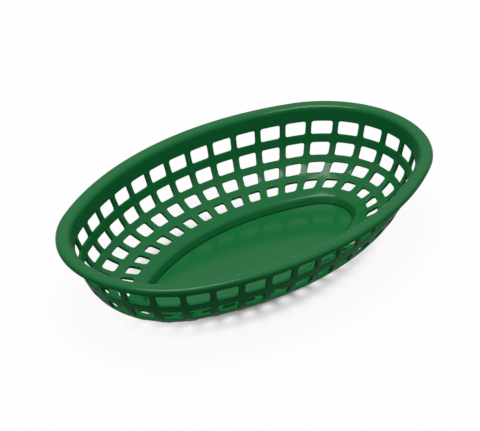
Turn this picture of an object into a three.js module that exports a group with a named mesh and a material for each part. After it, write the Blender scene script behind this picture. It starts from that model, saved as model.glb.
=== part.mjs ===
// Oval serving basket: one moulding in green polypropylene, divided at its own feature lines.
// Millimetres, +Z up. The origin is on the table under the middle of the floor, and X runs along
// the basket.

import * as THREE from 'three';
import { mergeVertices } from 'three/addons/utils/BufferGeometryUtils.js';

// Sizes over all, across the rim and from the table to the top of the rim
const LENGTH = 238;
const WIDTH = 154.4;
const HEIGHT = 46;
const END_RADIUS = 62.5; // of the rim's outline round each end

// Even thickness of the moulding
const THICKNESS = 1.8;

// Rim: a flange turned out from the wall, with its outer edge rolled down into a lip
const FLANGE_WIDTH = 7.8; // from the outer edge to the line of the wall's inner face
const RIM_BEND_RADIUS = 2.5;
const RIM_ROOT = 0.5; // stub of the wall that stays with the flange
const LIP_RADIUS = 2.4;
const LIP_HEIGHT = 3; // from the top of the rim to the foot of the lip

// Wall in section: a leaning face, a bowl bend, a sloping ledge and a step down to the floor
const WALL_LEAN = 17.5; // degrees from upright
const BOWL_RADIUS = 23.7;
const LEDGE_SLOPE = 19.5; // degrees from level
const LEDGE_LENGTH = 17;
const STEP_DEPTH = 3.65;
const STEP_RUN = 0.8;
const STEP_EDGE_RADIUS = 1.5;
const FOOT_RADIUS = 0.8;

// Lattice: windows between upright ribs and level hoops
const COLUMNS = 36;
const ROWS = 4;
const RIB_WIDTH = 3.15; // between the windows of the first row
const HOOP_WIDTH = 4.25; // below the first row
const LATTICE_GROWTH = 0.33; // by which ribs and hoops are wider from each row to the next
const UPPER_BAND = 9; // plain wall above the windows, measured along its inner face
const LEDGE_BAND = 7.7; // plain ledge below the windows
const WINDOW_CORNER = 1.3;

// Fineness of the facets
const STATIONS = 2 * COLUMNS; // one at each rib and one at the middle of each window
const ROUND_STEPS = 3;

const steep = THREE.MathUtils.degToRad(90 - WALL_LEAN);
const shallow = THREE.MathUtils.degToRad(LEDGE_SLOPE);
const stepSlope = Math.atan2(STEP_DEPTH, STEP_RUN);

// The straight upper wall takes up the height that the bend, the ledge and the step leave.
const stepEdgeHeight = THICKNESS + STEP_DEPTH;
const bendDrop = BOWL_RADIUS * (Math.cos(shallow) - Math.cos(steep));
const ledgeDrop = LEDGE_LENGTH * Math.sin(shallow);
const straightLength = (HEIGHT - stepEdgeHeight - bendDrop - ledgeDrop) / Math.sin(steep);
const bendLength = BOWL_RADIUS * (steep - shallow);
const wallLength = straightLength + bendLength + LEDGE_LENGTH;

// The windows share the wall between the two plain bands. Their rows are evenly spaced, and each
// window is lower than the one above it by as much as the hoops are wider.
const latticeLength = wallLength - UPPER_BAND - LEDGE_BAND;
const firstWindow = (latticeLength - (ROWS - 1) * (HOOP_WIDTH - LATTICE_GROWTH)) / ROWS;
const rowPitch = firstWindow + HOOP_WIDTH - LATTICE_GROWTH / 2;

function rowMiddle(row) {
  return UPPER_BAND + firstWindow / 2 + row * rowPitch;
}

// Section points are (inset, height): inset runs inward from the outer edge of the rim.
function outward(slope) {
  return new THREE.Vector2(-Math.sin(slope), -Math.cos(slope));
}

// Slope of the wall at a distance along its inner face from the line of the rim.
function wallSlope(along) {
  const turned = (along - straightLength) / BOWL_RADIUS;
  return THREE.MathUtils.clamp(steep - turned, shallow, steep);
}

// Point of the section at a distance along the inner face and a depth below that face.
function wallPoint(along, depth) {
  const slope = wallSlope(along);
  const straight = Math.min(along, straightLength);
  const ledge = Math.max(along - straightLength - bendLength, 0);
  const inset =
    FLANGE_WIDTH +
    straight * Math.cos(steep) +
    BOWL_RADIUS * (Math.sin(steep) - Math.sin(slope)) +
    ledge * Math.cos(shallow);
  const height =
    HEIGHT -
    straight * Math.sin(steep) -
    BOWL_RADIUS * (Math.cos(slope) - Math.cos(steep)) -
    ledge * Math.sin(shallow);
  return new THREE.Vector2(inset, height).addScaledVector(outward(slope), depth);
}

// Point of the straight upper wall at a height and a depth below the inner face.
function upperWallPoint(height, depth) {
  const inset = FLANGE_WIDTH + (HEIGHT - height) / Math.tan(steep) - depth / Math.sin(steep);
  return new THREE.Vector2(inset, height);
}

// Corner of the section, rounded to a radius, as points from one side to the other.
function roundedCorner(before, corner, after, radius) {
  const toBefore = before.clone().sub(corner).normalize();
  const toAfter = after.clone().sub(corner).normalize();
  const halfAngle = Math.acos(toBefore.dot(toAfter)) / 2;
  const reach = radius / Math.tan(halfAngle);
  const middle = toBefore.clone().add(toAfter).normalize();
  const centre = corner.clone().addScaledVector(middle, radius / Math.sin(halfAngle));
  const start = corner.clone().addScaledVector(toBefore, reach).sub(centre);
  const end = corner.clone().addScaledVector(toAfter, reach).sub(centre);
  const turn = Math.atan2(start.cross(end), start.dot(end));
  const points = [];
  for (let step = 0; step <= ROUND_STEPS; step += 1) {
    const angle = (turn * step) / ROUND_STEPS;
    points.push(start.clone().rotateAround(new THREE.Vector2(), angle).add(centre));
  }
  return points;
}

// Plan of the rim's outline: an oval drawn with two arcs round the ends and two along the sides.
// Every line inside it has arcs on the same centres, so it keeps the same distance all round.
const endCentre = LENGTH / 2 - END_RADIUS; // along X from the middle
const widthBeyondEnd = WIDTH / 2 - END_RADIUS;
const sideCentre = (endCentre ** 2 - widthBeyondEnd ** 2) / (2 * widthBeyondEnd); // past the middle
const sideRadius = WIDTH / 2 + sideCentre;
const meetingAngle = Math.atan2(sideCentre, endCentre);

// Length of a quarter of the oval at an inset, with its parts round the end and along the side.
function quarterOval(inset) {
  const endArc = (END_RADIUS - inset) * meetingAngle;
  const sideArc = (sideRadius - inset) * (Math.PI / 2 - meetingAngle);
  return { endArc, length: endArc + sideArc };
}

// Place in space of a section point at a station. The stations lie evenly along the point's own
// oval, counted from the end at +X.
const quarterStations = STATIONS / 4;

function onOval({ x: inset, y: height }, station) {
  const { endArc, length } = quarterOval(inset);
  const around = THREE.MathUtils.euclideanModulo(station, STATIONS);
  const nearestEnd = 2 * quarterStations * Math.round(around / (2 * quarterStations));
  const travelled = (length * Math.abs(around - nearestEnd)) / quarterStations;
  const place = new THREE.Vector3(0, 0, height);
  if (travelled < endArc) {
    const angle = travelled / (END_RADIUS - inset);
    place.x = endCentre + (END_RADIUS - inset) * Math.cos(angle);
    place.y = (END_RADIUS - inset) * Math.sin(angle);
  } else {
    const angle = meetingAngle + (travelled - endArc) / (sideRadius - inset);
    place.x = (sideRadius - inset) * Math.cos(angle);
    place.y = (sideRadius - inset) * Math.sin(angle) - sideCentre;
  }
  place.x *= nearestEnd === 2 * quarterStations ? -1 : 1;
  place.y *= around > 2 * quarterStations ? -1 : 1;
  return place;
}

// Rows of section points, one row a station, joined into a skin. Each four-sided face is split
// from its inner point at one station to its outer point at the next, so that rings that meet
// share the same faces.
function skin(section, closed) {
  const points = [];
  const triangles = [];
  const count = section.length;
  const strips = closed ? count : count - 1;
  for (let station = 0; station < STATIONS; station += 1) {
    points.push(...section.map((sectionPoint) => onOval(sectionPoint, station)));
    const here = station * count;
    const next = ((station + 1) % STATIONS) * count;
    for (let strip = 0; strip < strips; strip += 1) {
      const other = (strip + 1) % count;
      if (section[strip].x > section[other].x) {
        triangles.push(here + strip, next + strip, next + other);
        triangles.push(here + strip, next + other, here + other);
      } else {
        triangles.push(here + strip, next + strip, here + other);
        triangles.push(next + strip, next + other, here + other);
      }
    }
  }
  return { points, triangles };
}

function indexedGeometry({ points, triangles }) {
  const geometry = new THREE.BufferGeometry().setFromPoints(points);
  geometry.setIndex(triangles);
  return geometry;
}

// Ring with the given section, which runs up its outside and down its inside.
function ovalRing(section) {
  return indexedGeometry(skin(section, true));
}

// Oval plate with the given edge, which runs up from the underside to the top.
function ovalPlate(edge) {
  const { points, triangles } = skin(edge, false);
  const last = edge.length - 1;
  const under = points.push(new THREE.Vector3(0, 0, edge[0].y)) - 1;
  const top = points.push(new THREE.Vector3(0, 0, edge[last].y)) - 1;
  for (let station = 0; station < STATIONS; station += 1) {
    const here = station * edge.length;
    const next = ((station + 1) % STATIONS) * edge.length;
    triangles.push(under, next, here);
    triangles.push(top, here + last, next + last);
  }
  return indexedGeometry({ points, triangles });
}

// Places at which the moulding is divided: an upright one where the rim's edge starts to roll
// down, level ones below the flange and at the floor, and ones square to the wall along each hoop,
// half way between two rows.
const flangeUnderside = HEIGHT - THICKNESS;
const rimSeam = flangeUnderside - RIM_ROOT;

function hoopSeam(hoop) {
  return rowMiddle(hoop - 0.5);
}

// Flange: the flat top of the rim, bent into the wall.
function rimFlange() {
  const rollLine = new THREE.Vector2(LIP_RADIUS, HEIGHT);
  const wallLine = new THREE.Vector2(FLANGE_WIDTH, HEIGHT);
  return ovalRing([
    new THREE.Vector2(LIP_RADIUS, flangeUnderside),
    rollLine,
    ...roundedCorner(rollLine, wallLine, wallPoint(straightLength, 0), RIM_BEND_RADIUS),
    upperWallPoint(rimSeam, 0),
    upperWallPoint(rimSeam, THICKNESS),
    upperWallPoint(flangeUnderside, THICKNESS),
  ]);
}

// Lip: the outer edge of the rim, rolled down from the flange to a plain foot.
function rimLip() {
  const outerFoot = new THREE.Vector2(0, HEIGHT - LIP_HEIGHT);
  const outerEdge = new THREE.Vector2(0, HEIGHT);
  const rollLine = new THREE.Vector2(LIP_RADIUS, HEIGHT);
  return ovalRing([
    outerFoot,
    ...roundedCorner(outerFoot, outerEdge, rollLine, LIP_RADIUS),
    new THREE.Vector2(LIP_RADIUS, flangeUnderside),
    new THREE.Vector2(THICKNESS, flangeUnderside),
    new THREE.Vector2(THICKNESS, HEIGHT - LIP_HEIGHT),
  ]);
}

// Upper band: the plain wall between the rim and the first windows.
function upperBand() {
  return ovalRing([
    wallPoint(hoopSeam(0), THICKNESS),
    upperWallPoint(rimSeam, THICKNESS),
    upperWallPoint(rimSeam, 0),
    wallPoint(hoopSeam(0), 0),
  ]);
}

// Stations that a length takes up at a distance along the wall.
function stationsFor(length, along) {
  const perimeter = 4 * quarterOval(wallPoint(along, 0).x).length;
  return (STATIONS * length) / perimeter;
}

// Cell of the lattice around one window, as (station, along) points: its border runs along the
// middles of two ribs and along two hoops, and its window keeps half a rib from each side.
function windowCell(row, station) {
  const upper = hoopSeam(row);
  const lower = hoopSeam(row + 1);
  const halfWindow = (firstWindow - row * LATTICE_GROWTH) / 2;
  const halfRib = (RIB_WIDTH + row * LATTICE_GROWTH) / 2;
  const top = rowMiddle(row) - halfWindow;
  const bottom = rowMiddle(row) + halfWindow;
  const left = station - 1;
  const right = station + 1;
  const upperSeam = [[left, upper], [station, upper], [right, upper]];
  const lowerSeam = [[right, lower], [station, lower], [left, lower]];
  const rightRib = [[right, top], [right, bottom]];
  const leftRib = [[left, bottom], [left, top]];
  const border = [...upperSeam, ...rightRib, ...lowerSeam, ...leftRib];
  const window = [];
  for (const [level, inward] of [[top, 1], [bottom, -1]]) {
    const side = stationsFor(halfRib, level);
    const corner = stationsFor(halfRib + WINDOW_CORNER, level);
    const ends = [
      [left + side, level + inward * WINDOW_CORNER], [left + corner, level],
      [right - corner, level], [right - side, level + inward * WINDOW_CORNER],
    ];
    window.push(...(inward > 0 ? ends : ends.reverse()));
  }
  const toVectors = (pairs) => pairs.map(([across, along]) => new THREE.Vector2(across, along));
  return {
    border: toVectors(border),
    window: toVectors(window),
    seams: [toVectors(upperSeam), toVectors(lowerSeam)],
  };
}

// Window course: a ring of the wall from one hoop to the next.
function windowCourse(row) {
  const corners = [];

  function onFace(cellPoint, depth) {
    return onOval(wallPoint(cellPoint.y, depth), cellPoint.x);
  }

  // Face through the wall's thickness below an edge, with the wall on the edge's left.
  function edgeFace(from, to) {
    const innerFrom = onFace(from, 0);
    const innerTo = onFace(to, 0);
    const outerFrom = onFace(from, THICKNESS);
    const outerTo = onFace(to, THICKNESS);
    if (to.x > from.x) {
      corners.push(innerFrom, outerFrom, outerTo, innerFrom, outerTo, innerTo);
    } else {
      corners.push(innerFrom, outerFrom, innerTo, outerFrom, outerTo, innerTo);
    }
  }

  for (let column = 0; column < COLUMNS; column += 1) {
    const { border, window, seams } = windowCell(row, 2 * column + 1);
    const cellPoints = [...border, ...window];
    for (const [a, b, c] of THREE.ShapeUtils.triangulateShape(border, [window])) {
      const [first, second, third] = [cellPoints[a], cellPoints[b], cellPoints[c]];
      corners.push(onFace(first, 0), onFace(second, 0), onFace(third, 0));
      corners.push(
        onFace(first, THICKNESS),
        onFace(third, THICKNESS),
        onFace(second, THICKNESS),
      );
    }
    window.forEach((from, index) => edgeFace(window[(index + 1) % window.length], from));
    for (const seam of seams) {
      seam.slice(1).forEach((to, index) => edgeFace(seam[index], to));
    }
  }
  return mergeVertices(new THREE.BufferGeometry().setFromPoints(corners));
}

// The step's outer face is the wall's thickness below its inner face.
const stepEdge = wallPoint(wallLength, 0);
const stepFoot = new THREE.Vector2(stepEdge.x + STEP_RUN, THICKNESS);
const mitre = outward(shallow).add(outward(stepSlope));
mitre.multiplyScalar(THICKNESS / (1 + outward(shallow).dot(outward(stepSlope))));
const outerStepEdge = stepEdge.clone().add(mitre);

function outerStepPoint(height) {
  const inset = outerStepEdge.x + (outerStepEdge.y - height) / Math.tan(stepSlope);
  return new THREE.Vector2(inset, height);
}

// Ledge and step: the plain ring below the windows and its rounded step down to the floor.
function ledgeStep() {
  const ledgeTop = wallPoint(hoopSeam(ROWS), 0);
  return ovalRing([
    outerStepPoint(THICKNESS),
    outerStepEdge,
    wallPoint(hoopSeam(ROWS), THICKNESS),
    ledgeTop,
    ...roundedCorner(ledgeTop, stepEdge, stepFoot, STEP_EDGE_RADIUS),
    stepFoot,
  ]);
}

// Floor: an oval plate with a rounded foot, which carries the foot of the step.
function floorPanel() {
  const middle = new THREE.Vector2(LENGTH / 2, 0);
  const foot = outerStepPoint(0);
  const edge = outerStepPoint(THICKNESS);
  return ovalPlate([...roundedCorner(middle, foot, edge, FOOT_RADIUS), edge]);
}

const polypropylene = { color: '#1f6b3c', roughness: 0.38, metalness: 0 };

function piece(name, geometry) {
  geometry.computeVertexNormals();
  const mesh = new THREE.Mesh(geometry, new THREE.MeshStandardMaterial(polypropylene));
  mesh.name = name;
  return mesh;
}

const basket = new THREE.Group();
basket.add(piece('rim_flange', rimFlange()));
basket.add(piece('rim_lip', rimLip()));
basket.add(piece('upper_band', upperBand()));
for (let row = 0; row < ROWS; row += 1) {
  basket.add(piece(`window_course_${row + 1}`, windowCourse(row)));
}
basket.add(piece('ledge_step', ledgeStep()));
basket.add(piece('floor_panel', floorPanel()));

export default basket;
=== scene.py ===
import math

import bmesh
import bpy
from mathutils import Matrix, Vector


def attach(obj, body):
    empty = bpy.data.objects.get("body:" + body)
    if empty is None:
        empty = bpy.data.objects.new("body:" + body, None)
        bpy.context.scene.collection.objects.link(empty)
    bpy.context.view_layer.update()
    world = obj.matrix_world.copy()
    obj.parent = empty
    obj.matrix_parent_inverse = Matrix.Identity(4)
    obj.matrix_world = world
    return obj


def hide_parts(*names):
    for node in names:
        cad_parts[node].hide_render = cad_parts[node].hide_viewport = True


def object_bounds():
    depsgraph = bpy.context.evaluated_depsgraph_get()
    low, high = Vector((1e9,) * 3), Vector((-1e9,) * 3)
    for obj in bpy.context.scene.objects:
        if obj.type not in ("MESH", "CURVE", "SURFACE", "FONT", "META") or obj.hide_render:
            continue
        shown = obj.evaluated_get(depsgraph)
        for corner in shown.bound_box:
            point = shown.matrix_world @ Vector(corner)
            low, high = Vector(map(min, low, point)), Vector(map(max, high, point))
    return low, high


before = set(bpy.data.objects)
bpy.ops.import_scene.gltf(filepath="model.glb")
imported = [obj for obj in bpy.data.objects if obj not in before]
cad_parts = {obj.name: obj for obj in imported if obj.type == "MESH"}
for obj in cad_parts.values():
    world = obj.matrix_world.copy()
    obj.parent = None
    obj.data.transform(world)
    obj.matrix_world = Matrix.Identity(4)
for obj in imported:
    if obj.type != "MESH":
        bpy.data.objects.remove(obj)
cad_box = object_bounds()

# Moulding, its plan. The basket is one injection moulding in polypropylene. Its rim is an oval
# drawn with two arcs round the ends and two along the sides, and every line inside the rim has
# arcs on the same centres, so that it keeps one distance from the rim all round.
MM = 0.001
LENGTH = cad_box[1].x - cad_box[0].x
WIDTH = cad_box[1].y - cad_box[0].y
END_RADIUS = 62.5 * MM
COLUMNS = 36

end_centre = LENGTH / 2 - END_RADIUS
width_beyond_end = WIDTH / 2 - END_RADIUS
side_centre = (end_centre**2 - width_beyond_end**2) / (2 * width_beyond_end)
side_radius = WIDTH / 2 + side_centre
meeting_angle = math.atan2(side_centre, end_centre)


def quarter_oval(inset):
    """Length round the end and whole length of a quarter of the oval at an inset."""
    end_arc = (END_RADIUS - inset) * meeting_angle
    return end_arc, end_arc + (side_radius - inset) * (math.pi / 2 - meeting_angle)


def column_pitch(inset):
    """Length of the oval at an inset that each column of windows takes."""
    return 4 * quarter_oval(inset)[1] / COLUMNS


def oval_place(inset, column):
    """(x, y) on the oval at an inset, with the columns even along it from the end at +X."""
    end_arc, quarter = quarter_oval(inset)
    around = column % COLUMNS
    nearest_end = round(2 * around / COLUMNS)
    travelled = 4 * quarter * abs(around / COLUMNS - nearest_end / 2)
    if travelled < end_arc:
        angle = travelled / (END_RADIUS - inset)
        x = end_centre + (END_RADIUS - inset) * math.cos(angle)
        y = (END_RADIUS - inset) * math.sin(angle)
    else:
        angle = meeting_angle + (travelled - end_arc) / (side_radius - inset)
        x = (side_radius - inset) * math.cos(angle)
        y = (side_radius - inset) * math.sin(angle) - side_centre
    return (-x if nearest_end == 1 else x), (-y if around > COLUMNS / 2 else y)


# Moulding, its section. A rim with a thinner lip rolled down at its edge, a steep wall that is
# slightly bowed and bends into a sloping ledge, and a step down to a flat floor with a fine crease
# round it. It is followed on the face that shows from above, from the foot of the lip to the floor.
HEIGHT = cad_box[1].z
THICKNESS = 1.8 * MM
FLANGE_WIDTH = 7.8 * MM
LIP_RADIUS = 2.0 * MM
LIP_HEIGHT = 3 * MM
LIP_THINNING = 0.7
RIM_BEND_RADIUS = 3.2 * MM
RIM_SLOPE = math.radians(77.5)
WALL_SLOPE = math.radians(67.5)
BOWL_RADIUS = 23.7 * MM
LEDGE_SLOPE = math.radians(19.5)
LEDGE_LENGTH = 15.9 * MM
STEP_DEPTH = 3.5 * MM
STEP_RUN = 1.7 * MM
STEP_EDGE_RADIUS = 3.2 * MM
CREASE_RISE = 0.5 * MM
CREASE_RUN = 0.1 * MM
CREASE_WIDTH = 0.8 * MM
CREASE_DEPTH = 0.6 * MM
FLOOR_MARGIN = 6 * MM

step_edge_height = THICKNESS + CREASE_RISE + STEP_DEPTH
step_slope = math.atan2(STEP_DEPTH, STEP_RUN)
bend_drop = BOWL_RADIUS * (math.cos(LEDGE_SLOPE) - math.cos(WALL_SLOPE))
ledge_drop = LEDGE_LENGTH * math.sin(LEDGE_SLOPE)
steep_drop = HEIGHT - step_edge_height - bend_drop - ledge_drop
steep_radius = steep_drop / (math.cos(WALL_SLOPE) - math.cos(RIM_SLOPE))
steep_length = steep_radius * (RIM_SLOPE - WALL_SLOPE)
bend_length = BOWL_RADIUS * (WALL_SLOPE - LEDGE_SLOPE)
wall_length = steep_length + bend_length + LEDGE_LENGTH


def wall_point(along):
    """(inset, height) at a distance down the wall from the line of the rim."""
    steep_slope = max(RIM_SLOPE - along / steep_radius, WALL_SLOPE)
    turned = (along - steep_length) / BOWL_RADIUS
    bend_slope = min(max(WALL_SLOPE - turned, LEDGE_SLOPE), WALL_SLOPE)
    ledge = max(along - steep_length - bend_length, 0)
    inset = FLANGE_WIDTH + steep_radius * (math.sin(RIM_SLOPE) - math.sin(steep_slope))
    inset += BOWL_RADIUS * (math.sin(WALL_SLOPE) - math.sin(bend_slope))
    inset += ledge * math.cos(LEDGE_SLOPE)
    height = HEIGHT - steep_radius * (math.cos(steep_slope) - math.cos(RIM_SLOPE))
    height -= BOWL_RADIUS * (math.cos(bend_slope) - math.cos(WALL_SLOPE))
    height -= ledge * math.sin(LEDGE_SLOPE)
    return inset, height


def rounded_corner(corner, slope_before, slope_after, radius, steps):
    """Points of a rounded corner of the section between two slopes that run inward and down."""
    turn = slope_after - slope_before
    reach = radius * math.tan(abs(turn) / 2)
    inset = corner[0] - reach * math.cos(slope_before)
    height = corner[1] + reach * math.sin(slope_before)
    points = [(inset, height)]
    chord = 2 * radius * math.sin(abs(turn) / steps / 2)
    for step in range(steps):
        slope = slope_before + turn * (step + 0.5) / steps
        inset += chord * math.cos(slope)
        height -= chord * math.sin(slope)
        points.append((inset, height))
    return points


# Moulding, its lattice. The mould leaves four rows of windows open between upright ribs and level
# hoops, which are a little wider from each row to the next. The rows are not quite evenly spaced.
# The windows have small round corners, and the lines of the sheet follow their edges.
ROWS = 4
RIB_WIDTH = 3.4 * MM
HOOP_WIDTH = 4.5 * MM
LATTICE_GROWTH = 0.33 * MM
UPPER_BAND = 9.1 * MM
LEDGE_BAND = 6.7 * MM
ROW_DROPS = (0, 0.45 * MM, -0.15 * MM, -0.15 * MM)
WINDOW_CORNER = 1.3 * MM
CORNER_STEPS = (0, 0.617, 1)
ACROSS_STEPS = (0.25, 0.5, 0.75)
DOWN_STEPS = (1 / 3, 2 / 3)

lattice_length = wall_length - UPPER_BAND - LEDGE_BAND
first_window = (lattice_length - (ROWS - 1) * (HOOP_WIDTH - LATTICE_GROWTH)) / ROWS
row_pitch = first_window + HOOP_WIDTH - LATTICE_GROWTH / 2


def window_ends(row):
    """Distances down the wall to the top and the bottom of a row's windows."""
    middle = UPPER_BAND + first_window / 2 + row * row_pitch + ROW_DROPS[row]
    half = (first_window - row * LATTICE_GROWTH) / 2
    return middle - half, middle + half


def rib_width(row):
    """Width of the ribs of a row."""
    return RIB_WIDTH + row * LATTICE_GROWTH


def spread(span, middle_steps):
    """Distances from one edge of a window to the other: round corner, middle and round corner."""
    corner = [WINDOW_CORNER * step for step in CORNER_STEPS]
    flat = span - 2 * WINDOW_CORNER
    middle = [WINDOW_CORNER + flat * step for step in middle_steps]
    return corner + middle + [span - distance for distance in reversed(corner)]


# Each line of the sheet across the section is an (inset, height, distance down the wall, row).
# Lines between two rows have the row's number with a half, for the width of the ribs there.
LIP_STEPS = 6
RIM_BEND_STEPS = 5
STEP_EDGE_STEPS = 4
BAND_LINE = 0.6

rim_points = [(0, HEIGHT - LIP_HEIGHT)]
rim_points += rounded_corner((0, HEIGHT), -math.pi / 2, 0, LIP_RADIUS, LIP_STEPS)
lip_lines = len(rim_points)
rim_line = (FLANGE_WIDTH, HEIGHT)
rim_points += rounded_corner(rim_line, 0, RIM_SLOPE, RIM_BEND_RADIUS, RIM_BEND_STEPS)
lines = [(*point, 0, 0) for point in rim_points]

wall_lines = [(UPPER_BAND * BAND_LINE, 0)]
window_rows = []
for row in range(ROWS):
    top, bottom = window_ends(row)
    first = len(lines) + len(wall_lines)
    downs = spread(bottom - top, DOWN_STEPS)
    wall_lines += [(top + down, row) for down in downs]
    window_rows.append((first, first + len(downs) - 1))
    if row < ROWS - 1:
        wall_lines.append(((bottom + window_ends(row + 1)[0]) / 2, row + 0.5))
    else:
        wall_lines.append((bottom + LEDGE_BAND / 2, row))
lines += [(*wall_point(along), along, row) for along, row in wall_lines]

step_edge = wall_point(wall_length)
step_foot = step_edge[0] + STEP_RUN
step_points = rounded_corner(
    step_edge, LEDGE_SLOPE, step_slope, STEP_EDGE_RADIUS, STEP_EDGE_STEPS
)
step_points.append((step_foot, THICKNESS + CREASE_RISE))
crease_line = len(lines) + len(step_points)
step_points += [
    (step_foot + CREASE_RUN, THICKNESS),
    (step_foot + CREASE_WIDTH, THICKNESS),
    (step_foot + FLOOR_MARGIN, THICKNESS),
]
lines += [(*point, wall_length, ROWS - 1) for point in step_points]

across_count = 2 * len(CORNER_STEPS) + len(ACROSS_STEPS)
cell_lines = across_count + 1


def across_column(along, row):
    """Where the lines of one column lie, as parts of a column: rib middle, then the window."""
    within = min(max(along, UPPER_BAND), UPPER_BAND + lattice_length)
    pitch = column_pitch(wall_point(within)[0])
    window = spread(pitch - rib_width(row), ACROSS_STEPS)
    return [0] + [(rib_width(row) / 2 + distance) / pitch for distance in window]


# Moulding, its sheet. A flat grid is cut out at the windows and wrapped round the oval, its floor
# is filled, and the sheet is given its thickness and soft edges, as one closed skin. The rim, the
# ledge, the step and the floor are satin, and the steep wall and the whole outside are matt.
SATIN_SIDE, MATT_SIDE = 0, 1
MATT_LIP_LINES = 3
SATIN_BEND_LINES = 3

bpy.ops.object.select_all(action="DESELECT")
sheet_columns = COLUMNS * cell_lines
sheet_rows = len(lines) - 1
bpy.ops.mesh.primitive_grid_add(x_subdivisions=sheet_columns, y_subdivisions=sheet_rows, size=2)
basket = bpy.context.object
basket.name = "basket_moulding"
basket.data.name = "basket_moulding"
for finish in (SATIN_SIDE, MATT_SIDE):
    basket.data.materials.append(None)


def grid_place(point):
    """(column line, section line) of a point of the flat grid, as real numbers."""
    return (point.x + 1) / 2 * sheet_columns, (1 - point.y) / 2 * sheet_rows


def in_window(across, down):
    """Row of the window that a place of the flat grid lies in or on the edge of, or None."""
    for row, (first, last) in enumerate(window_rows):
        if first <= down <= last and 1 <= across % cell_lines <= across_count:
            return row
    return None


def is_matt(down):
    """Whether the sheet is matt there: at the edge of the lip, and on the steep wall."""
    steep_start = lip_lines + SATIN_BEND_LINES
    return down < MATT_LIP_LINES or steep_start < down < window_rows[1][0]


bpy.ops.object.mode_set(mode="EDIT")
bpy.ops.mesh.select_mode(type="FACE")
bpy.ops.mesh.select_all(action="DESELECT")
flat_sheet = bmesh.from_edit_mesh(basket.data)
for face in flat_sheet.faces:
    across, down = grid_place(face.calc_center_median())
    face.select_set(in_window(across, down) is not None)
    face.material_index = MATT_SIDE if is_matt(down) else SATIN_SIDE
bmesh.update_edit_mesh(basket.data)
bpy.ops.mesh.delete(type="FACE")
bpy.ops.object.mode_set(mode="OBJECT")

CORNER_TURN = math.radians(22.5)
corner_last = len(CORNER_STEPS) - 1
columns_at = [across_column(along, row) for inset, height, along, row in lines]


def window_corner(line, down, row):
    """(part of a column, distance down the wall) on a window's round corner, or None off it."""
    first, last = window_rows[row]
    from_side = min(line - 1, across_count - line)
    from_end = min(down - first, last - down)
    if from_end == 0 and from_side < corner_last:
        turn = CORNER_TURN * (corner_last - from_side)
    elif from_side == 0 and from_end < corner_last:
        turn = CORNER_TURN * (corner_last + from_end)
    else:
        return None
    end = WINDOW_CORNER * (1 - math.cos(turn))
    top, bottom = window_ends(row)
    along = top + end if down - first < last - down else bottom - end
    side = rib_width(row) / 2 + WINDOW_CORNER * (1 - math.sin(turn))
    part = side / column_pitch(wall_point(along)[0])
    return (part if line - 1 < across_count - line else 1 - part), along


lip = basket.vertex_groups.new(name="rim_lip")
crease = basket.vertex_groups.new(name="floor_crease")
for vertex in basket.data.vertices:
    across, down = (round(number) for number in grid_place(vertex.co))
    if down < lip_lines:
        lip.add([vertex.index], 1, "REPLACE")
    elif down == crease_line:
        crease.add([vertex.index], 1, "REPLACE")
    inset, height, along, _ = lines[down]
    column, line = divmod(across, cell_lines)
    part = columns_at[down][line]
    row = in_window(across, down)
    corner = window_corner(line, down, row) if row is not None else None
    if corner:
        part, along = corner
        inset, height = wall_point(along)
    vertex.co = (*oval_place(inset, column + part), height)

MERGE_DISTANCE = 0.001 * MM
FLOOR_TOP = 1.1 * THICKNESS
FLOOR_SPAN = sheet_columns // 3


def select_edges(edge_test):
    """Selects the edges of the mesh being edited that pass a test."""
    bpy.ops.mesh.select_mode(type="EDGE")
    bpy.ops.mesh.select_all(action="DESELECT")
    mesh = bmesh.from_edit_mesh(basket.data)
    for edge in mesh.edges:
        edge.select_set(edge_test(edge))
    bmesh.update_edit_mesh(basket.data)


def in_floor(edge):
    """Whether an edge lies in the floor of the basket."""
    return max(vertex.co.z for vertex in edge.verts) < FLOOR_TOP


def rings_floor(edge):
    """Whether an edge is on the open inner edge of the sheet, round the floor."""
    return edge.is_boundary and in_floor(edge)


bpy.ops.object.mode_set(mode="EDIT")
bpy.ops.mesh.select_all(action="SELECT")
bpy.ops.mesh.remove_doubles(threshold=MERGE_DISTANCE)
bpy.ops.mesh.select_all(action="SELECT")
bpy.ops.mesh.normals_make_consistent(inside=False)
select_edges(rings_floor)
bpy.ops.mesh.fill_grid(span=FLOOR_SPAN)
bpy.ops.mesh.select_all(action="SELECT")
bpy.ops.object.mode_set(mode="OBJECT")

wall = basket.modifiers.new("wall", "SOLIDIFY")
wall.thickness = THICKNESS
wall.offset = -1
wall.use_even_offset = True
wall.use_quality_normals = True
wall.vertex_group = "rim_lip"
wall.invert_vertex_group = True
wall.thickness_vertex_group = LIP_THINNING
wall.material_offset = MATT_SIDE
wall.material_offset_rim = MATT_SIDE
bpy.ops.object.modifier_apply(modifier=wall.name)

SOFT_EDGE = 0.35 * MM
SOFT_EDGE_STEPS = 2
HARD_TURN = math.radians(60)


def turns_hard(edge):
    """Whether an edge is a hard one, at a window or at the foot of the lip."""
    return not in_floor(edge) and edge.calc_face_angle(0) > HARD_TURN


bpy.ops.object.mode_set(mode="EDIT")
select_edges(turns_hard)
bpy.ops.mesh.bevel(
    offset=SOFT_EDGE, segments=SOFT_EDGE_STEPS, profile=0.5, affect="EDGES", clamp_overlap=True
)
bpy.ops.object.mode_set(mode="OBJECT")

crease_index = basket.vertex_groups["floor_crease"].index
for vertex in basket.data.vertices:
    on_crease = any(member.group == crease_index for member in vertex.groups)
    if on_crease and vertex.co.z > THICKNESS / 2:
        vertex.co.z -= CREASE_DEPTH
basket.vertex_groups.clear()

CREASE_TURN = math.radians(15)
CREASE_TOP = THICKNESS + 1.1 * CREASE_RISE


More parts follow.
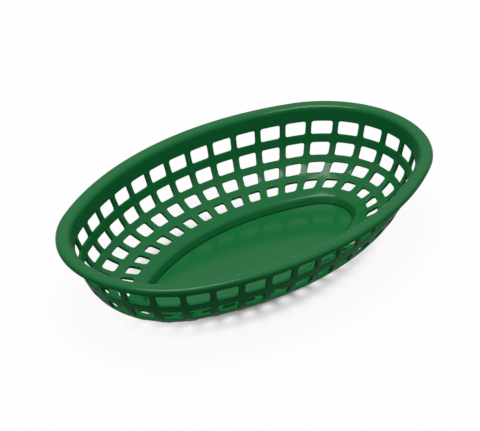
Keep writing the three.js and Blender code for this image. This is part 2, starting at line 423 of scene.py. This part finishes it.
def borders_crease(edge):
    """Whether an edge is a sharp one of the crease round the floor."""
    low = min(vertex.co.z for vertex in edge.verts)
    high = max(vertex.co.z for vertex in edge.verts)
    in_crease = low > THICKNESS / 2 and high < CREASE_TOP
    return in_crease and edge.calc_face_angle(0) > CREASE_TURN


bpy.ops.object.mode_set(mode="EDIT")
select_edges(borders_crease)
bpy.ops.mesh.mark_sharp()
bpy.ops.object.mode_set(mode="OBJECT")

bpy.ops.object.shade_smooth()
shading = basket.modifiers.new("shading", "WEIGHTED_NORMAL")
shading.keep_sharp = True
bpy.ops.object.modifier_apply(modifier=shading.name)

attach(basket, "root")
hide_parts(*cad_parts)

# Moulding, its plastic. Deep green polypropylene, satin or matt as the mould's own surface was.
# Both finishes have a faint drift of the colour where the plastic flowed, a fine uneven gloss, a
# fine grain, and the slight waves of a thin moulding that has cooled.
PLASTIC_GREEN = (0.0084, 0.167, 0.0428, 1)
PLASTIC_DEEP = (0.0072, 0.1445, 0.0368, 1)
PLASTIC_IOR = 1.49
FLOW_SCALE = 22
FLOW_DETAIL = 3
GLOSS_SCALE = 160
GLOSS_DETAIL = 4
GRAIN_SCALE = 900
GRAIN_DETAIL = 3
GRAIN_HEIGHT = 0.004 * MM
WAVE_SCALE = 38
WAVE_DETAIL = 0
WAVE_HEIGHT = 0.12 * MM

moulded = bpy.data.node_groups.new("moulded_skin", "ShaderNodeTree")
for name in ("Smoothest", "Roughest"):
    moulded.interface.new_socket(name, in_out="INPUT", socket_type="NodeSocketFloat")
for name, kind in (("Color", "Color"), ("Roughness", "Float"), ("Relief", "Float")):
    moulded.interface.new_socket(name, in_out="OUTPUT", socket_type="NodeSocket" + kind)
moulded_nodes = moulded.nodes
moulded_links = moulded.links
given = moulded_nodes.new("NodeGroupInput")
result = moulded_nodes.new("NodeGroupOutput")
place = moulded_nodes.new("ShaderNodeTexCoord")


def noise(scale, detail):
    """Noise over the moulding, from 0 to 1."""
    node = moulded_nodes.new("ShaderNodeTexNoise")
    node.inputs["Scale"].default_value = scale
    node.inputs["Detail"].default_value = detail
    moulded_links.new(place.outputs["Object"], node.inputs["Vector"])
    return node.outputs["Fac"]


def raised(pattern, height, ground=None):
    """Relief of a pattern that rises to a height, on another relief if there is one."""
    node = moulded_nodes.new("ShaderNodeMath")
    node.operation = "MULTIPLY_ADD"
    moulded_links.new(pattern, node.inputs[0])
    node.inputs[1].default_value = height
    node.inputs[2].default_value = 0
    if ground:
        moulded_links.new(ground, node.inputs[2])
    return node.outputs["Value"]


drift = moulded_nodes.new("ShaderNodeMix")
drift.data_type = "RGBA"
drift.inputs["A"].default_value = PLASTIC_DEEP
drift.inputs["B"].default_value = PLASTIC_GREEN
moulded_links.new(noise(FLOW_SCALE, FLOW_DETAIL), drift.inputs["Factor"])
moulded_links.new(drift.outputs["Result"], result.inputs["Color"])
gloss = moulded_nodes.new("ShaderNodeMapRange")
moulded_links.new(noise(GLOSS_SCALE, GLOSS_DETAIL), gloss.inputs["Value"])
moulded_links.new(given.outputs["Smoothest"], gloss.inputs["To Min"])
moulded_links.new(given.outputs["Roughest"], gloss.inputs["To Max"])
moulded_links.new(gloss.outputs["Result"], result.inputs["Roughness"])
waves = raised(noise(WAVE_SCALE, WAVE_DETAIL), WAVE_HEIGHT)
relief = raised(noise(GRAIN_SCALE, GRAIN_DETAIL), GRAIN_HEIGHT, waves)
moulded_links.new(relief, result.inputs["Relief"])


def plastic_finish(name, sheen, smoothest, roughest):
    """Material of the moulding with one of its finishes."""
    material = bpy.data.materials.new(name)
    material.use_nodes = True
    tree = material.node_tree
    skin = tree.nodes["Principled BSDF"]
    skin.inputs["IOR"].default_value = PLASTIC_IOR
    skin.inputs["Specular IOR Level"].default_value = sheen
    surface = tree.nodes.new("ShaderNodeGroup")
    surface.node_tree = moulded
    surface.inputs["Smoothest"].default_value = smoothest
    surface.inputs["Roughest"].default_value = roughest
    tree.links.new(surface.outputs["Color"], skin.inputs["Base Color"])
    tree.links.new(surface.outputs["Roughness"], skin.inputs["Roughness"])
    bump = tree.nodes.new("ShaderNodeBump")
    bump.inputs["Distance"].default_value = 1
    tree.links.new(surface.outputs["Relief"], bump.inputs["Height"])
    tree.links.new(bump.outputs["Normal"], skin.inputs["Normal"])
    return material


SATIN_SHEEN = 0.3
SATIN_SMOOTHEST = 0.1
SATIN_ROUGHEST = 0.16
MATT_SHEEN = 0.05
MATT_SMOOTHEST = 0.45
MATT_ROUGHEST = 0.55

basket.data.materials[SATIN_SIDE] = plastic_finish(
    "green_polypropylene_satin", SATIN_SHEEN, SATIN_SMOOTHEST, SATIN_ROUGHEST
)
basket.data.materials[MATT_SIDE] = plastic_finish(
    "green_polypropylene_matt", MATT_SHEEN, MATT_SMOOTHEST, MATT_ROUGHEST
)

# Table. A plain white table top, wide enough to fill the picture, which takes the basket's shadow.
# The camera sees it as bright white, apart from a painted shade under the basket: the glow is held
# back in an oval like the rim, so the table's own shadow shows there. It sends only a little light
# back up. The painted shade fades between two sizes of that oval.
TABLE_SIZE = 30
TABLE_DROP = 0.05 * MM
TABLE_WHITE = (0.95, 0.95, 0.95, 1)
TABLE_BOUNCE = (0.18, 0.18, 0.18, 1)
TABLE_GLOW = 0.92
# Painted shade: no glow inside the first size of the oval, full glow outside the second.
PAINTED_SHADE_INSIDE = 0.42
PAINTED_SHADE_OUTSIDE = 0.78

bpy.ops.object.select_all(action="DESELECT")
bpy.ops.mesh.primitive_plane_add(size=TABLE_SIZE, location=(0, 0, -TABLE_DROP))
table = bpy.context.object
table.name = "table"


def seen_rays(node_tree):
    """Socket that is 1 for the rays which show a surface: camera, glossy and transmission rays."""
    path = node_tree.nodes.new("ShaderNodeLightPath")
    seen = path.outputs["Is Camera Ray"]
    for other in ("Is Glossy Ray", "Is Transmission Ray"):
        either = node_tree.nodes.new("ShaderNodeMath")
        either.operation = "MAXIMUM"
        node_tree.links.new(seen, either.inputs[0])
        node_tree.links.new(path.outputs[other], either.inputs[1])
        seen = either.outputs["Value"]
    return seen


table_top = bpy.data.materials.new("white_table_top")
table_top.use_nodes = True
top_nodes = table_top.node_tree.nodes
top_links = table_top.node_tree.links
top_nodes.remove(top_nodes["Principled BSDF"])
white = top_nodes.new("ShaderNodeBsdfDiffuse")
white.inputs["Color"].default_value = TABLE_WHITE
glow = top_nodes.new("ShaderNodeEmission")
shown = top_nodes.new("ShaderNodeMixShader")
top_place = top_nodes.new("ShaderNodeTexCoord")
rim_sized = top_nodes.new("ShaderNodeVectorMath")
rim_sized.operation = "MULTIPLY"
rim_sized.inputs[1].default_value = (2 / LENGTH, 2 / WIDTH, 0)
top_links.new(top_place.outputs["Object"], rim_sized.inputs[0])
from_middle = top_nodes.new("ShaderNodeVectorMath")
from_middle.operation = "LENGTH"
top_links.new(rim_sized.outputs["Vector"], from_middle.inputs[0])
# Painted shade: a mask by distance from the middle holds the glow back under the basket, so the
# table's real shadow shows only inside this oval.
painted_shade = top_nodes.new("ShaderNodeMapRange")
painted_shade.interpolation_type = "SMOOTHSTEP"
painted_shade.inputs["From Min"].default_value = PAINTED_SHADE_INSIDE
painted_shade.inputs["From Max"].default_value = PAINTED_SHADE_OUTSIDE
painted_shade.inputs["To Max"].default_value = TABLE_GLOW
top_links.new(from_middle.outputs["Value"], painted_shade.inputs["Value"])
top_links.new(painted_shade.outputs["Result"], shown.inputs["Fac"])
top_links.new(white.outputs["BSDF"], shown.inputs[1])
top_links.new(glow.outputs["Emission"], shown.inputs[2])
bounce = top_nodes.new("ShaderNodeBsdfDiffuse")
bounce.inputs["Color"].default_value = TABLE_BOUNCE
by_ray = top_nodes.new("ShaderNodeMixShader")
top_links.new(seen_rays(table_top.node_tree), by_ray.inputs["Fac"])
top_links.new(bounce.outputs["BSDF"], by_ray.inputs[1])
top_links.new(shown.outputs["Shader"], by_ray.inputs[2])
top_links.new(by_ray.outputs["Shader"], top_nodes["Material Output"].inputs["Surface"])
table.data.materials.append(table_top)

# Light. One broad lamp straight above the basket, which draws the highlights along its rim, and a
# soft white dome that fades from its full strength overhead to nothing at the table.
LAMP_STRENGTH = 1.9
LAMP_SPREAD = math.radians(38)
DOME_WHITE = (1, 1, 1, 1)
DOME_STRENGTH = 0.42
DOME_EDGE = 0.5

lamp = bpy.data.objects.new("lamp", bpy.data.lights.new("lamp", "SUN"))
lamp.data.energy = LAMP_STRENGTH
lamp.data.angle = LAMP_SPREAD
bpy.context.scene.collection.objects.link(lamp)
room = bpy.data.worlds.new("room")
room.use_nodes = True
room_nodes = room.node_tree.nodes
room_links = room.node_tree.links
direction = room_nodes.new("ShaderNodeTexCoord")
parts = room_nodes.new("ShaderNodeSeparateXYZ")
room_links.new(direction.outputs["Generated"], parts.inputs["Vector"])
dome = room_nodes.new("ShaderNodeMapRange")
dome.inputs["From Max"].default_value = DOME_EDGE
dome.inputs["To Max"].default_value = DOME_STRENGTH
room_links.new(parts.outputs["Z"], dome.inputs["Value"])
soft = room_nodes["Background"]
soft.inputs["Color"].default_value = DOME_WHITE
room_links.new(dome.outputs["Result"], soft.inputs["Strength"])
bpy.context.scene.world = room
bpy.context.scene.view_settings.view_transform = "Standard"

# Camera. It looks down on the basket from the front left, with a long lens and a slight roll. It
# stands at a distance from the middle of the rim, which shows at a given pixel of the picture.
AZIMUTH = math.radians(-43.636)
ELEVATION = math.radians(29.606)
ROLL = math.radians(-2.192)
DISTANCE = 1096.8 * MM
PICTURE_WIDTH = 480
PICTURE_HEIGHT = 431
FOCAL_PIXELS = 2016.1
RIM_CENTRE_PIXEL = (249.58, 187.76)
SENSOR_WIDTH = 36

back = Vector((
    math.sin(AZIMUTH) * math.cos(ELEVATION),
    -math.cos(AZIMUTH) * math.cos(ELEVATION),
    math.sin(ELEVATION),
))
level = Vector((math.cos(AZIMUTH), math.sin(AZIMUTH), 0))
upward = back.cross(level)
right = math.cos(ROLL) * level + math.sin(ROLL) * upward
up = math.cos(ROLL) * upward - math.sin(ROLL) * level
rim_centre = Vector((0, 0, HEIGHT))
per_pixel = DISTANCE / FOCAL_PIXELS
aim = rim_centre + right * (PICTURE_WIDTH / 2 - RIM_CENTRE_PIXEL[0]) * per_pixel
aim -= up * (PICTURE_HEIGHT / 2 - RIM_CENTRE_PIXEL[1]) * per_pixel
stand = rim_centre + back * DISTANCE
away = (stand - aim).normalized()
picture_right = up.cross(away).normalized()
facing = Matrix((picture_right, away.cross(picture_right), away)).transposed()

camera = bpy.data.objects.new("camera", bpy.data.cameras.new("camera"))
camera.data.sensor_width = SENSOR_WIDTH
camera.data.lens = FOCAL_PIXELS / PICTURE_WIDTH * SENSOR_WIDTH
camera.location = stand
camera.rotation_euler = facing.to_euler()
bpy.context.scene.collection.objects.link(camera)
bpy.context.scene.camera = camera
